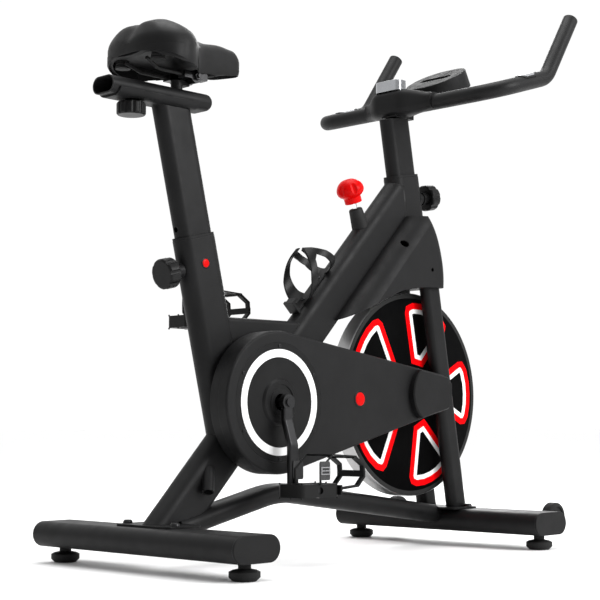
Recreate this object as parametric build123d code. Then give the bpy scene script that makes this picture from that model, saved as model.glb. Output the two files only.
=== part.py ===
from build123d import *
import os
from math import cos, radians, sin

# Indoor spin bike. Millimetres; X forward, Y to the rider's left, Z up, floor at Z = 0.
# Layout X is measured from the middle of the wheelbase. save() moves the whole part
# by ORIGIN_X, so that its origin is on the floor under the middle of its length.
ORIGIN_X = 20.0

# ---- overall layout ------------------------------------------------------------------
STANCE_X = 418.0            # stabilisers in front of and behind the middle
STAB_DEPTH = 108.0
STAB_HEIGHT = 47.0
STAB_Z = 53.5
STAB_HALF = 274.0           # half length of the tube, without its end caps
CAP_THICK = 4.0
FOOT_Y = 247.0
PLATE_THICK = 4.0
PLATE_TOP = STAB_Z + STAB_HEIGHT / 2 + PLATE_THICK

TUBE_DEPTH = 90.0           # seat tube, main beam and head tube share one section
TUBE_WIDTH = 47.0
TUBE_WALL = 2.0

BEAM_ANGLE = 46.1
BEAM_X = -9.7
BEAM_Z = 452.4
SEAT_TOP = (-316.1, 604.2)
SEAT_LEAN = 13.4
HEAD_TOP = (278.0, 787.0)
HEAD_LEAN = 10.1

CRANK_X = -171.3
CRANK_Z = 299.7
CRANK_LENGTH = 161.5
PEDAL_Y = 156.0
AXLE_X = 285.6
AXLE_Z = 321.6
FLYWHEEL_R = 215.0
FLYWHEEL_HALF = 19.0
BELT_Y = -47.0
BIG_PULLEY_R = 100.0
SMALL_PULLEY_R = 30.0
BELT_GAP = 0.3
BELT_THICK = 3.0

SLIDER_Z = 859.0            # centre height of the saddle slider
SLIDER_REAR = -530.0
SLIDER_FRONT = -291.0
SADDLE_POST_X = -359.0

BAR_R = 16.5
WHEEL_X = 511.0
WHEEL_Y = 218.0
WHEEL_Z = 61.0
WHEEL_R = 30.0

SLIDING_GAP = 0.3
RUNNING_GAP = 0.05
COVER_GAP = 0.5


def lean_frame(x, z, lean):
    """Frame at a point of a leaning tube: local z up the tube, local x forward."""
    a = radians(lean)
    return Plane(origin=(x, 0, z), x_dir=(cos(a), 0, sin(a)), z_dir=(-sin(a), 0, cos(a)))


BEAM = lean_frame(BEAM_X, BEAM_Z, BEAM_ANGLE)      # local x runs up the beam
SEAT = lean_frame(*SEAT_TOP, SEAT_LEAN)
HEAD = lean_frame(*HEAD_TOP, HEAD_LEAN)
ALONG_X = Rot(0, 90, 0)


def save(name, shape):
    export_step(Pos(-ORIGIN_X, 0, 0) * shape, f"parts/{name}.step")


def group(solids):
    return Compound(list(solids))


def slot_bar(depth, width, low, high):
    """Solid bar of obround section along local z."""
    return Pos(0, 0, low) * extrude(SlotOverall(depth, width), high - low)


def slot_tube(depth, width, wall, low, high):
    inner = slot_bar(depth - 2 * wall, width - 2 * wall, low - 1, high + 1)
    return slot_bar(depth, width, low, high) - inner


def slab(sketch, y_a, y_b):
    """Side-view sketch (X, Z) made solid between two Y values."""
    low, high = sorted((y_a, y_b))
    return extrude(Plane.XZ.offset(-high) * sketch, high - low)


def rod_y(x, z, radius, y_a, y_b):
    return slab(Pos(x, z) * Circle(radius), y_a, y_b)


def ring_y(x, z, outer, inner, y_a, y_b):
    return slab(Pos(x, z) * (Circle(outer) - Circle(inner)), y_a, y_b)


def both_sides(shape):
    return [shape, mirror(shape, Plane.XZ)]


def block(x_a, x_b, y_a, y_b, z_a, z_b):
    return Pos((x_a + x_b) / 2, (y_a + y_b) / 2, (z_a + z_b) / 2) * Box(
        abs(x_b - x_a), abs(y_b - y_a), abs(z_b - z_a))


def round_bar(points, radius, bends):
    """Round bar along straight runs joined by tangent arcs."""
    path = FilletPolyline(*points, radius=bends)
    start = Plane(origin=path @ 0, z_dir=path % 0)
    return sweep(start * Circle(radius), path=path)


def lobed_disc(radius, lobes, dip, height):
    """Knob head with rounded grips around its rim, along local z."""
    disc = extrude(Circle(radius), height)
    disc = fillet(disc.edges().filter_by(GeomType.CIRCLE), height * 0.18)
    grip = extrude(Circle(radius * 0.20), height + 2)
    for k in range(lobes):
        disc -= Rot(0, 0, 360 / lobes * k) * Pos(radius * 1.20 - dip, 0, -1) * grip
    return disc


# ---- frame weldment -------------------------------------------------------------------
def beam_bar(extra=0.0):
    """Outer form of the main beam, with extra clearance around it."""
    size = 2 * extra
    return BEAM * ALONG_X * slot_bar(TUBE_DEPTH + size, TUBE_WIDTH + size, -600, 423)


def seat_bar():
    return SEAT * slot_bar(TUBE_DEPTH, TUBE_WIDTH, -387, 0)


def head_bar(extra=0.0, top=0.0):
    size = 2 * extra
    return HEAD * slot_bar(TUBE_DEPTH + size, TUBE_WIDTH + size, HEAD_LOW - extra, top)


HEAD_LOW = -136.0
BB_SHELL_R = 23.0
BB_HALF = 36.0
RAIL_WIDTH = 60.0
RAIL_HEIGHT = 38.0
BRAKE = Plane(origin=(116.5, 0, 741), x_dir=(0.9243, 0, 0.3817), z_dir=(-0.3817, 0, 0.9243))
BRAKE_ROD_R = 5.5
STUB = Plane(origin=(-313, -39, 136), x_dir=(1, 0, 0), z_dir=(17, 18, 39))


def main_beam():
    """Diagonal tube, coped at both ends, with the small open stub low on its right."""
    beam = BEAM * ALONG_X * slot_tube(TUBE_DEPTH, TUBE_WIDTH, TUBE_WALL, -600, 423)
    stub = STUB * extrude(Circle(11), 48) - STUB * (Pos(0, 0, -1) * extrude(Circle(8.5), 30))
    beam += stub - beam_bar()
    beam -= block(-700, -100, -60, 60, -200, PLATE_TOP)
    beam -= head_bar(top=60)
    beam -= rod_y(CRANK_X, CRANK_Z, BB_SHELL_R, -60, 60)
    beam -= rail_bar()
    beam -= BRAKE * (Pos(0, 0, -260) * extrude(Circle(BRAKE_ROD_R + 1), 260))
    return beam


def boss(frame, height, side):
    """Threaded boss for a pull knob, welded on a leaning tube's front or rear face."""
    reach = TUBE_DEPTH / 2 - 1
    turn = Pos(side * reach, 0, height) * Rot(0, 90 * side, 0)
    return frame * turn * extrude(Circle(13), KNOB_BOSS + 1)


def knob_hole(frame, height, side):
    turn = Pos(0, 0, height) * Rot(0, 90 * side, 0)
    return frame * turn * extrude(Circle(KNOB_PIN_R + SLIDING_GAP), 90)


KNOB_BOSS = 10.0
KNOB_PIN_R = 5.0
SEAT_KNOB_AT = -54.0        # below the tube's top, along the tube
HEAD_KNOB_AT = -49.0


def seat_tube():
    tube = SEAT * slot_tube(TUBE_DEPTH, TUBE_WIDTH, TUBE_WALL, -387, 0)
    tube += boss(SEAT, SEAT_KNOB_AT, -1) - seat_bar()
    tube -= knob_hole(SEAT, SEAT_KNOB_AT, -1)
    tube -= beam_bar()
    return tube - rod_y(CRANK_X, CRANK_Z, BB_SHELL_R, -60, 60)


def cross_tube():
    z, height, width, wall = 430.0, 60.0, 40.0, 2.0
    bar = extrude(RectangleRounded(height, width, 8), 260)
    bar -= extrude(RectangleRounded(height - 2 * wall, width - 2 * wall, 6), 260)
    bar = Pos(-280, 0, z) * Rot(0, 90, 0) * bar
    return bar - seat_bar() - beam_bar()


def head_tube():
    tube = HEAD * slot_tube(TUBE_DEPTH, TUBE_WIDTH, TUBE_WALL, HEAD_LOW, 0)
    tube += boss(HEAD, HEAD_KNOB_AT, 1) - head_bar()
    return tube - knob_hole(HEAD, HEAD_KNOB_AT, 1)


LEG_Y = 41.0
LEG_DEPTH = 50.0
LEG_WIDTH = 28.0
LEG_TOP = -112.0
DROPOUT_Y = LEG_Y + LEG_WIDTH / 2
DROPOUT_THICK = 6.0
AXLE_R = 8.5


def fork_legs():
    """Two legs down from the head tube, each with its spacer and axle plate."""
    leg = Pos(0, LEG_Y, 0) * slot_tube(LEG_DEPTH, LEG_WIDTH, TUBE_WALL, -740, LEG_TOP)
    gap = LEG_Y - LEG_WIDTH / 2 - TUBE_WIDTH / 2
    spacer_y = TUBE_WIDTH / 2 + gap / 2
    leg += Pos(0, spacer_y, LEG_TOP - 16) * Box(20, gap, 24)
    leg = HEAD * leg
    plate = Pos(AXLE_X, AXLE_Z) * Circle(24)
    plate += Pos(AXLE_X + 42, AXLE_Z) * Rectangle(84, 48)
    plate -= Pos(AXLE_X, AXLE_Z) * Circle(AXLE_R)
    leg += slab(plate, DROPOUT_Y, DROPOUT_Y + DROPOUT_THICK)
    leg -= block(300, 520, 0, 80, 0, PLATE_TOP)
    return group(both_sides(leg))


def rail_bar(shrink=0.0):
    """Arched base rail between the stabilisers, drawn along its centreline."""
    line = FilletPolyline((-405, 0, 61.5), (-103, 0, 129.5), (405, 0, 61), radius=260)
    section = SlotOverall(RAIL_WIDTH - shrink, RAIL_HEIGHT - shrink)
    start = Plane(origin=line @ 0, x_dir=(0, 1, 0), z_dir=line % 0)
    return sweep(start * section, path=line)


def stabiliser_bar(x, extra=0.0):
    section = SlotOverall(STAB_DEPTH + 2 * extra, STAB_HEIGHT + 2 * extra)
    return slab(Pos(x, STAB_Z) * section, -STAB_HALF, STAB_HALF)


PLATE_HALF = 74.0
BOLT_Y = 65.5
BOLT_X = 414.0


def base_rail():
    """Arched rail with the two plates that bolt on the stabilisers."""
    rail = rail_bar() - rail_bar(2 * TUBE_WALL)
    for side in (-1, 1):
        rail -= stabiliser_bar(side * STANCE_X, COVER_GAP)
        rail -= block(side * 364, side * 460, -50, 50, PLATE_TOP - PLATE_THICK, 140)
        rail -= block(side * 400, side * 500, -50, 50, 0, 140)
        plate = block(side * 358, side * 437, -PLATE_HALF, PLATE_HALF,
                      PLATE_TOP - PLATE_THICK, PLATE_TOP)
        plate = fillet(plate.edges().filter_by(Axis.Z), 8)
        for y in (-BOLT_Y, BOLT_Y):
            plate -= Pos(side * BOLT_X, y, PLATE_TOP - 10) * Cylinder(4.3, 40)
        rail += plate
    return rail


def bottom_bracket_shell():
    return ring_y(CRANK_X, CRANK_Z, BB_SHELL_R, 20, -BB_HALF, BB_HALF)


def bearings():
    """Two bearings in the bottom bracket shell and two on the flywheel axle."""
    rings = []
    for y in (-BB_HALF + 1, BB_HALF - 13):
        rings.append(ring_y(CRANK_X, CRANK_Z, 20, SPINDLE_R + RUNNING_GAP, y, y + 12))
    for y in (-26, 14):
        rings.append(ring_y(AXLE_X, AXLE_Z, HUB_BORE_R, AXLE_R, y, y + 12))
    return group(rings)


# ---- stabilisers, feet, transport wheels ----------------------------------------------
FOOT_R = 26.7
FOOT_STUD_R = 5.0


def stabiliser(side):
    x = side * STANCE_X
    tube = stabiliser_bar(x)
    inner = SlotOverall(STAB_DEPTH - 2 * TUBE_WALL, STAB_HEIGHT - 2 * TUBE_WALL)
    tube -= slab(Pos(x, STAB_Z) * inner, -STAB_HALF - 1, STAB_HALF + 1)
    for y in (-BOLT_Y, BOLT_Y):
        tube -= Pos(side * BOLT_X, y, STAB_Z + 20) * Cylinder(4.3, 20)
    for y in (-FOOT_Y, FOOT_Y):
        tube -= Pos(x, y, STAB_Z - 20) * Cylinder(FOOT_STUD_R + RUNNING_GAP, 30)
    return tube


def stabiliser_end_caps():
    """Plugs in the four tube ends: a flat face and a spigot inside the tube."""
    caps = []
    for x in (-STANCE_X, STANCE_X):
        face = slab(Pos(x, STAB_Z) * SlotOverall(STAB_DEPTH, STAB_HEIGHT),
                    STAB_HALF, STAB_HALF + CAP_THICK)
        face = fillet(face.faces().sort_by(Axis.Y)[-1].edges(), 1.6)
        inner = SlotOverall(STAB_DEPTH - 2 * TUBE_WALL - 0.6, STAB_HEIGHT - 2 * TUBE_WALL - 0.6)
        face += slab(Pos(x, STAB_Z) * (inner - offset(inner, -3)), STAB_HALF - 12, STAB_HALF)
        caps += both_sides(face)
    return group(caps)


def stabiliser_bolts():
    bolts = []
    for x in (-BOLT_X, BOLT_X):
        for y in (-BOLT_Y, BOLT_Y):
            shank = Pos(0, 0, -12) * Cylinder(4, 24)
            head = Sphere(9) - Pos(0, 0, -10) * Box(30, 30, 20)
            head = head & Pos(0, 0, 3) * Box(30, 30, 6.4)
            head -= Pos(0, 0, 5.2) * extrude(RegularPolygon(3, 6), 4)
            bolts.append(Pos(x, y, PLATE_TOP) * (shank + head))
    return group(bolts)


def foot(x, y):
    """Levelling foot: a rubber-edged pad on a threaded stud."""
    profile = make_face(Polyline(
        (0, 0), (FOOT_R - 7, 0), (FOOT_R, 6.5), (FOOT_R, 15.5), (FOOT_R - 6, 18.5),
        (11, 20.5), (11, 29.2), (FOOT_STUD_R, 29.2), (FOOT_STUD_R, 52), (0, 52), (0, 0)))
    return Pos(x, y, 0) * revolve(Plane.XZ * profile, Axis.Z)


def transport_wheel(side):
    """Roller with a tread groove; it clears the floor until the bike is tipped."""
    wheel = ring_y(WHEEL_X, WHEEL_Z, WHEEL_R, 5.1, -11, 11)
    wheel = fillet(wheel.edges().filter_by(GeomType.CIRCLE).group_by(
        SortBy.RADIUS)[-1], 4)
    wheel -= ring_y(WHEEL_X, WHEEL_Z, 22, 12, 8, 12)
    wheel -= ring_y(WHEEL_X, WHEEL_Z, 22, 12, -12, -8)
    return Pos(0, side * WHEEL_Y, 0) * wheel


def wheel_brackets():
    """Two welded forks on the front stabiliser, each with its axle pin."""
    brackets = []
    for side in (-1, 1):
        arm = Pos(WHEEL_X, WHEEL_Z) * Circle(11)
        arm += Pos(WHEEL_X - 22, WHEEL_Z - 2) * Rectangle(44, 18)
        part = slab(arm, -16, -12) + slab(arm, 12, 16)
        part += rod_y(WHEEL_X, WHEEL_Z, 5, -19, 19)
        part = Pos(0, side * WHEEL_Y, 0) * part
        brackets.append(part - stabiliser_bar(STANCE_X))
    return group(brackets)


# ---- drive ----------------------------------------------------------------------------
SPINDLE_R = 8.5
HUB_BORE_R = 17.5
GUARD_FACE = -81.0
GUARD_SPLIT = -57.0
GUARD_BACK = -36.0
GUARD_R = 134.6
GUARD_WALL = 2.5
COVER_R = 112.0
RING_R = (84.7, 99.8)
HUB_COVER_R = 44.6
COVER_SCREW_R = 106.0
ARM_ROOT_Y = 100.0
ARM_TIP_Y = 115.0
ARM_THICK = 12.0


def crank_spindle():
    ends = ARM_ROOT_Y + ARM_THICK / 2
    spindle = rod_y(CRANK_X, CRANK_Z, SPINDLE_R, -ends, ends)
    washers = rod_y(CRANK_X, CRANK_Z, 8, -ends - 3.5, -ends)
    washers += rod_y(CRANK_X, CRANK_Z, 8, ends, ends + 3.5)
    return spindle + washers


def pulley(x, z, radius, hub, bore, web_holes, hole_r, y=BELT_Y):
    """Flat belt pulley with a thin web, a hub and lightening holes."""
    wheel = ring_y(x, z, radius, radius - 5, y - 7.5, y + 7.5)
    wheel += ring_y(x, z, radius, bore, y - 2.5, y + 2.5)
    wheel += ring_y(x, z, hub, bore, y - 7.5, y + 7.5)
    for k in range(web_holes):
        a = radians(360 / web_holes * k)
        r = (radius + hub) / 2 - 1
        wheel -= rod_y(x + r * cos(a), z + r * sin(a), hole_r, y - 9, y + 9)
    return wheel


def crank_arm(side):
    """Arm bent outwards from its boss at the spindle to its pedal eye, with the pin."""
    line = FilletPolyline((0, ARM_ROOT_Y, -4), (0, ARM_ROOT_Y, -34), (0, ARM_TIP_Y, -80),
                          (0, ARM_TIP_Y, -CRANK_LENGTH), radius=18)
    start = Plane(origin=line @ 0, x_dir=(1, 0, 0), z_dir=line % 0)
    arm = sweep(start * RectangleRounded(22, ARM_THICK, 3.5), path=line)
    half = ARM_THICK / 2
    arm += rod_y(0, 0, 15, ARM_ROOT_Y - half, ARM_ROOT_Y + half)
    arm += rod_y(0, -CRANK_LENGTH, 13, ARM_TIP_Y - half, ARM_TIP_Y + half)
    arm -= rod_y(0, 0, SPINDLE_R, 60, 160)
    arm += rod_y(0, -CRANK_LENGTH, PEDAL_PIN_R, ARM_TIP_Y + half, PEDAL_Y + PEDAL_HALF - 4)
    arm += rod_y(0, -CRANK_LENGTH, 9, ARM_TIP_Y + half, ARM_TIP_Y + half + 3)
    arm = mirror(arm, Plane.XY) if side > 0 else mirror(arm, Plane.XZ)
    return Pos(CRANK_X, 0, CRANK_Z) * arm


def crank_arms():
    return group([crank_arm(1), crank_arm(-1)])


PEDAL_HALF = 31.0
PEDAL_PIN_R = 6.0
PEDAL_LENGTH = 100.0


def pedal(side):
    """Caged platform around its spindle, with grip pins on both long rails."""
    z = CRANK_Z + side * CRANK_LENGTH
    frame = RectangleRounded(PEDAL_LENGTH, 2 * PEDAL_HALF, 10)
    frame -= Pos(30, 0) * RectangleRounded(26, 2 * PEDAL_HALF - 20, 4)
    frame -= Pos(-30, 0) * RectangleRounded(26, 2 * PEDAL_HALF - 20, 4)
    body = Pos(0, 0, -12) * extrude(frame, 24)
    body += Rot(90, 0, 0) * Cylinder(13, 2 * PEDAL_HALF)
    body -= Rot(90, 0, 0) * Cylinder(PEDAL_PIN_R + 0.4, 2 * PEDAL_HALF + 2)
    for x in (-46.5, 46.5):
        for y in (-28, 0, 28):
            body += Pos(x, y, 13) * Cylinder(1.6, 3)
            body += Pos(x, y, -13) * Cylinder(1.6, 3)
    return Pos(CRANK_X, side * PEDAL_Y, z) * body


def toe_cage(side):
    """Toe clip ahead of the pedal, with the strap over the foot and its buckle."""
    z = CRANK_Z + side * CRANK_LENGTH
    front, height = 118.0, 66.0
    hoop = Polyline((50.5, 0), (front - 18, 4), (front, 22), (front - 2, 46), (front - 26, 62),
                    (front - 30, 58), (front - 6, 43), (front - 4, 24), (front - 20, 8),
                    (50.5, 4.5), close=True)
    cage = slab(make_face(hoop), -34, -24) + slab(make_face(hoop), 24, 34)
    cage += block(front - 32, front - 24, -34, 34, 57, 62)
    cage += block(front - 5, front, -34, 34, 22, 34)
    cage += block(50.5, 54.5, -34, 34, -9, 9)
    band = Polyline((-4, 10), (-4, 40), (30, height), (front - 24, 62), (front - 24, 59.5),
                    (30, height - 2.5), (-1, 38), (-1, 10), close=True)
    loop = slab(make_face(band), -PEDAL_HALF - 3, PEDAL_HALF + 3)
    cage += loop - block(-50, 28, -PEDAL_HALF, PEDAL_HALF, -5, 90)
    return Pos(CRANK_X, side * PEDAL_Y, z) * cage


def flywheel():
    """Cast rim and thin web on a hub; the bearings run inside the hub."""
    profile = Polyline((HUB_BORE_R + RUNNING_GAP, -27), (26, -27), (26, -4), (188, -4),
                       (188, -FLYWHEEL_HALF), (FLYWHEEL_R - 2, -FLYWHEEL_HALF),
                       (FLYWHEEL_R, -FLYWHEEL_HALF + 2), (FLYWHEEL_R, FLYWHEEL_HALF - 2),
                       (FLYWHEEL_R - 2, FLYWHEEL_HALF), (188, FLYWHEEL_HALF), (188, 4), (26, 4),
                       (26, 27), (HUB_BORE_R + RUNNING_GAP, 27), close=True)
    wheel = revolve(Plane.XY * make_face(profile), Axis.Y)
    return Pos(AXLE_X, 0, AXLE_Z) * wheel


def flywheel_covers():
    """Printed plastic discs that close both sides of the flywheel inside its rim."""
    return group(both_sides(ring_y(AXLE_X, AXLE_Z, 187.7, 26.5, -18.5, -16)))


def drive_belt():
    def loop(extra):
        rounds = Pos(CRANK_X, CRANK_Z) * Circle(BIG_PULLEY_R + extra)
        rounds += Pos(AXLE_X, AXLE_Z) * Circle(SMALL_PULLEY_R + extra)
        return make_hull(rounds.edges())
    belt = loop(BELT_GAP + BELT_THICK) - loop(BELT_GAP)
    return slab(belt, BELT_Y - 6, BELT_Y + 6)


def flywheel_axle():
    """Fixed axle through both fork plates, with a lock nut on each side."""
    axle = rod_y(AXLE_X, AXLE_Z, AXLE_R, -72, 72)
    nut = slab(Pos(AXLE_X, AXLE_Z) * (RegularPolygon(15, 6) - Circle(AXLE_R)),
               DROPOUT_Y + DROPOUT_THICK, DROPOUT_Y + DROPOUT_THICK + 9)
    return group([axle, *both_sides(nut)])


# ---- belt guard -----------------------------------------------------------------------
def guard_outline():
    """Big circle round the crank, drawn in to a short blunt end past the axle."""
    rounds = Pos(CRANK_X, CRANK_Z) * Circle(GUARD_R)
    rounds += Pos(314, 350) * Circle(12)
    rounds += Pos(314, 298) * Circle(12)
    return make_hull(rounds.edges())


def dropout_slot():
    return block(AXLE_X - 30, 420, -DROPOUT_Y + COVER_GAP, -DROPOUT_Y - DROPOUT_THICK - COVER_GAP,
                 AXLE_Z - 25, AXLE_Z + 25)


def belt_guard_outer():
    outline = guard_outline()
    shell = slab(outline, GUARD_FACE, GUARD_SPLIT)
    shell = fillet(shell.faces().sort_by(Axis.Y)[0].edges(), 5)
    shell -= slab(offset(outline, -GUARD_WALL), GUARD_FACE + GUARD_WALL, GUARD_SPLIT + 1)
    shell -= rod_y(CRANK_X, CRANK_Z, COVER_R + 0.3, GUARD_FACE - 1, GUARD_SPLIT)
    shell += ring_y(CRANK_X, CRANK_Z, COVER_R + 6, COVER_R - 10,
                    GUARD_FACE + GUARD_WALL, GUARD_FACE + 2 * GUARD_WALL)
    shell -= rod_y(AXLE_X, AXLE_Z, 36, GUARD_FACE - 1, GUARD_SPLIT)
    return shell - dropout_slot()


def belt_guard_inner():
    outline = guard_outline()
    shell = slab(outline, GUARD_SPLIT, GUARD_BACK)
    shell -= slab(offset(outline, -GUARD_WALL), GUARD_SPLIT - 1, GUARD_BACK - GUARD_WALL)
    shell -= rod_y(CRANK_X, CRANK_Z, BB_SHELL_R + 0.3, GUARD_SPLIT, GUARD_BACK + 1)
    shell -= rod_y(AXLE_X, AXLE_Z, 30, GUARD_SPLIT, GUARD_BACK + 1)
    return shell - dropout_slot()


def crank_cover():
    """Round plate in the guard, with a raised collar where the spindle comes out."""
    face = ring_y(CRANK_X, CRANK_Z, COVER_R, 16, GUARD_FACE, GUARD_FACE + GUARD_WALL - 0.2)
    dish = ring_y(CRANK_X, CRANK_Z, HUB_COVER_R, 16, GUARD_FACE - 4, GUARD_FACE)
    dish = chamfer(dish.edges().filter_by(GeomType.CIRCLE).group_by(Axis.Y)[0].sort_by(
        SortBy.RADIUS)[-1], 3.5)
    dish -= ring_y(CRANK_X, CRANK_Z, 34, 26, GUARD_FACE - 5, GUARD_FACE - 2.5)
    plate = face + dish
    for x, z in cover_screw_places():
        plate -= rod_y(x, z, 2.2, GUARD_FACE - 1, GUARD_FACE + 5)
    return plate


def cover_screw_places():
    places = []
    for k in range(6):
        a = radians(60 * k + 30)
        places.append((CRANK_X + COVER_SCREW_R * cos(a), CRANK_Z + COVER_SCREW_R * sin(a)))
    return places


def guard_ring():
    return ring_y(CRANK_X, CRANK_Z, RING_R[1], RING_R[0], GUARD_FACE - 1.2, GUARD_FACE)


AXLE_COVER_FACE = -95.0


def axle_cover_outline(inset):
    """Big arc behind, straight edges converging forward, and a blunt end in front."""
    k = inset
    back = ThreePointArc((231 + k, 270 + k), (204 + k, 321), (229 + k, 370 - k))
    rest = FilletPolyline((229 + k, 370 - k), (322 - k, 355.5 - k), (322 - k, 290.5 + k),
                          (231 + k, 270 + k), radius=12 - k)
    return make_face([back, rest])


def axle_cover():
    """Raised cap over the flywheel axle."""
    cap = slab(axle_cover_outline(0), AXLE_COVER_FACE, GUARD_FACE)
    cap = chamfer(cap.faces().sort_by(Axis.Y)[0].edges(), 2.5)
    inner = axle_cover_outline(GUARD_WALL + 1)
    return cap - slab(inner, AXLE_COVER_FACE + GUARD_WALL, GUARD_FACE + 1)


def screw(head_r, head_h, shank_r, shank_l):
    """Pan-head screw along local -z with its head seated at the origin."""
    part = extrude(Circle(head_r), head_h)
    part = fillet(part.edges().sort_by(Axis.Z)[-1], head_h * 0.6)
    part -= Pos(0, 0, head_h - 1) * extrude(Rectangle(head_r * 1.3, 1), 2)
    part -= Pos(0, 0, head_h - 1) * extrude(Rectangle(1, head_r * 1.3), 2)
    return part + Pos(0, 0, -shank_l) * extrude(Circle(shank_r), shank_l)


def panel_screws():
    """Screws of the crank cover and of the bottle cage."""
    out = []
    for x, z in cover_screw_places():
        out.append(Pos(x, GUARD_FACE, z) * Rot(90, 0, 0) * screw(3.6, 1.8, 2.2, 2.2))
    for s in CAGE_SCREWS:
        at = BEAM * Pos(s, 0, TUBE_DEPTH / 2 + CAGE_BASE)
        out.append(at * screw(4.5, 2.2, 2.5, CAGE_BASE))
    return group(out)


# ---- flywheel guard -------------------------------------------------------------------
FENDER_Y = 66.0
FENDER_WALL = 2.5
FENDER_HOLES = [(225.0, 635.0, 7.5), (302.0, 585.0, 4.2)]
FENDER_ARC_R = 223.0


def fender_outline():
    """Cover over the joint of beam and fork; its lower edge follows the flywheel."""
    front = Spline((351, 549), (351.5, 580), (343, 626), (326, 670), (304, 700))
    rest = Polyline((304, 700), (180, 700), (8, 540), (8, 459), (40, 466), (95, 489),
                    (150, 514), (205, 535), (262, 545), (300, 547.5), (351, 549))
    return make_face([front, rest])


def fender_side_cut(inwards):
    """Everything outside the curved flank that runs from the beam to the flat side."""
    y, n = TUBE_WIDTH / 2 - inwards, -27 - inwards
    flank = ThreePointArc((y, n), (y + 28, n - 11), (FENDER_Y + 1, n - 47))
    rest = Polyline((FENDER_Y + 1, n - 47), (FENDER_Y + 60, n - 47), (FENDER_Y + 60, 200),
                    (-20, 200), (-20, n), (y, n))
    return BEAM * extrude(Plane.YZ.offset(-400) * make_face([flank, rest]), 1000)


def fender_block(inset):
    """Solid quarter of the cover, rounded along its outer front edge."""
    body = slab(Pos(-inset, inset) * fender_outline(), 0.2 - inset, FENDER_Y - inset)
    outer = body.edges().group_by(Axis.Y)[-1]
    front = outer.filter_by(lambda e: e.center().X > 310 and e.center().Z > 560)
    return fillet(front.sort_by(SortBy.LENGTH)[-1], 20 - inset) - fender_side_cut(inset)


def fender_half(side):
    shell = fender_block(0) - fender_block(FENDER_WALL)
    shell -= rod_y(AXLE_X, AXLE_Z, FENDER_ARC_R, -1, FENDER_Y + 1)
    shell -= beam_bar(COVER_GAP)
    shell -= head_bar(COVER_GAP)
    leg = slot_bar(LEG_DEPTH + 1, LEG_WIDTH + 1, -740, LEG_TOP + 1)
    shell -= HEAD * Pos(0, LEG_Y, 0) * leg
    shell -= HEAD * Pos(0, 24, LEG_TOP - 16) * Box(21, 12, 25)
    shell -= BRAKE * (Pos(0, 0, -260) * extrude(Rectangle(84, TUBE_WIDTH), 200))
    for x, z, radius in FENDER_HOLES:
        shell -= rod_y(x, z, radius, 0, FENDER_Y + 1)
    shell = shell.solids().sort_by(SortBy.VOLUME)[-1]
    return shell if side > 0 else mirror(shell, Plane.XZ)


# ---- brake ----------------------------------------------------------------------------
BOOT_TOP = -38.0
PAD_GAP = 4.0
PAD_HALF = 15.0


def brake_knob():
    """Mushroom knob with six soft lobes over a plain collar."""
    dome = Spline((0, 25), (15, 22.5), (28.5, 5), (20, -12), tangents=[(1, 0), (-0.9, -0.5)])
    stem = Polyline((20, -12), (18, -14), (18, -25), (17, -26), (0, -26), (0, 25))
    knob = revolve(Plane.XZ * make_face([dome, stem]), Axis.Z)
    for k in range(6):
        knob -= Rot(0, 0, 60 * k) * Pos(35.5, 0, 4) * Rot(0, -14, 0) * Cylinder(10, 60)
    bore = Pos(0, 0, -29) * extrude(Circle(BRAKE_ROD_R + RUNNING_GAP), 33)
    return BRAKE * (knob - bore)


def brake_rod():
    """Rod through the beam with the flat yoke that carries the felt pad."""
    rod = Pos(0, 0, -212) * extrude(Circle(BRAKE_ROD_R), 215)
    rod += Pos(0, 0, -214) * Box(64, 2 * PAD_HALF + 4, 4)
    return BRAKE * rod


def brake_pad():
    """Felt pad, hollowed to the flywheel's rim, a few millimetres clear of it."""
    pad = BRAKE * (Pos(0, 0, -226) * Box(60, 2 * PAD_HALF, 20))
    return pad - rod_y(AXLE_X, AXLE_Z, FLYWHEEL_R + PAD_GAP, -40, 40)


def brake_boot():
    """Tapered rubber boot that seals the rod where it enters the beam."""
    bore = BRAKE_ROD_R + 0.4
    boot = revolve(Plane.XZ * make_face(Polyline(
        (bore, 0), (14, 0), (20.5, -64), (20.5, -80), (bore + 2, -80), (bore, -6), close=True)),
        Axis.Z)
    boot = fillet(boot.edges().filter_by(GeomType.CIRCLE).group_by(Axis.Z)[-1].sort_by(
        SortBy.RADIUS)[-1], 4)
    return BRAKE * Pos(0, 0, BOOT_TOP) * boot - beam_bar()


# ---- bottle cage ----------------------------------------------------------------------
CAGE_R = 37.5
CAGE_STRAP = 3.0
CAGE_BASE = 4.0
CAGE_SCREWS = (28.0, 92.0)


def bottle_cage():
    """Springy cage: spine on the beam, a bottom lip and two side straps."""
    top = TUBE_DEPTH / 2
    spine = Pos(58, 0, top + CAGE_BASE / 2) * Box(128, 18, CAGE_BASE)
    lip = Pos(-6, 0, top + 14) * Box(6, 26, 28)
    lip += Pos(1, 0, top + 24) * Box(14, 22, 4)
    centre = top + CAGE_BASE + CAGE_R - 1.5
    shell = extrude(Circle(CAGE_R + CAGE_STRAP) - Circle(CAGE_R), 150)
    shell = Pos(-10, 0, centre) * ALONG_X * shell
    sweep_up = [(14, -2), (22, 12), (44, 40), (74, 66), (88, 76), (98, 80), (104, 74),
                (118, 52), (128, 26), (122, -2), (106, -2), (112, 24), (106, 44), (96, 62),
                (84, 58), (66, 38), (50, 10), (46, -2)]
    band = make_face(Polyline(*[(x, z + top) for x, z in sweep_up], close=True))
    straps = shell & extrude(Plane.XZ.offset(-60) * band, 120)
    straps -= Pos(90, 0, top + 78) * Box(120, 9, 30)
    cage = spine + lip + straps
    for s in CAGE_SCREWS:
        cage -= Pos(s, 0, top) * Cylinder(2.5, 30)
    return BEAM * cage - beam_bar()


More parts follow.
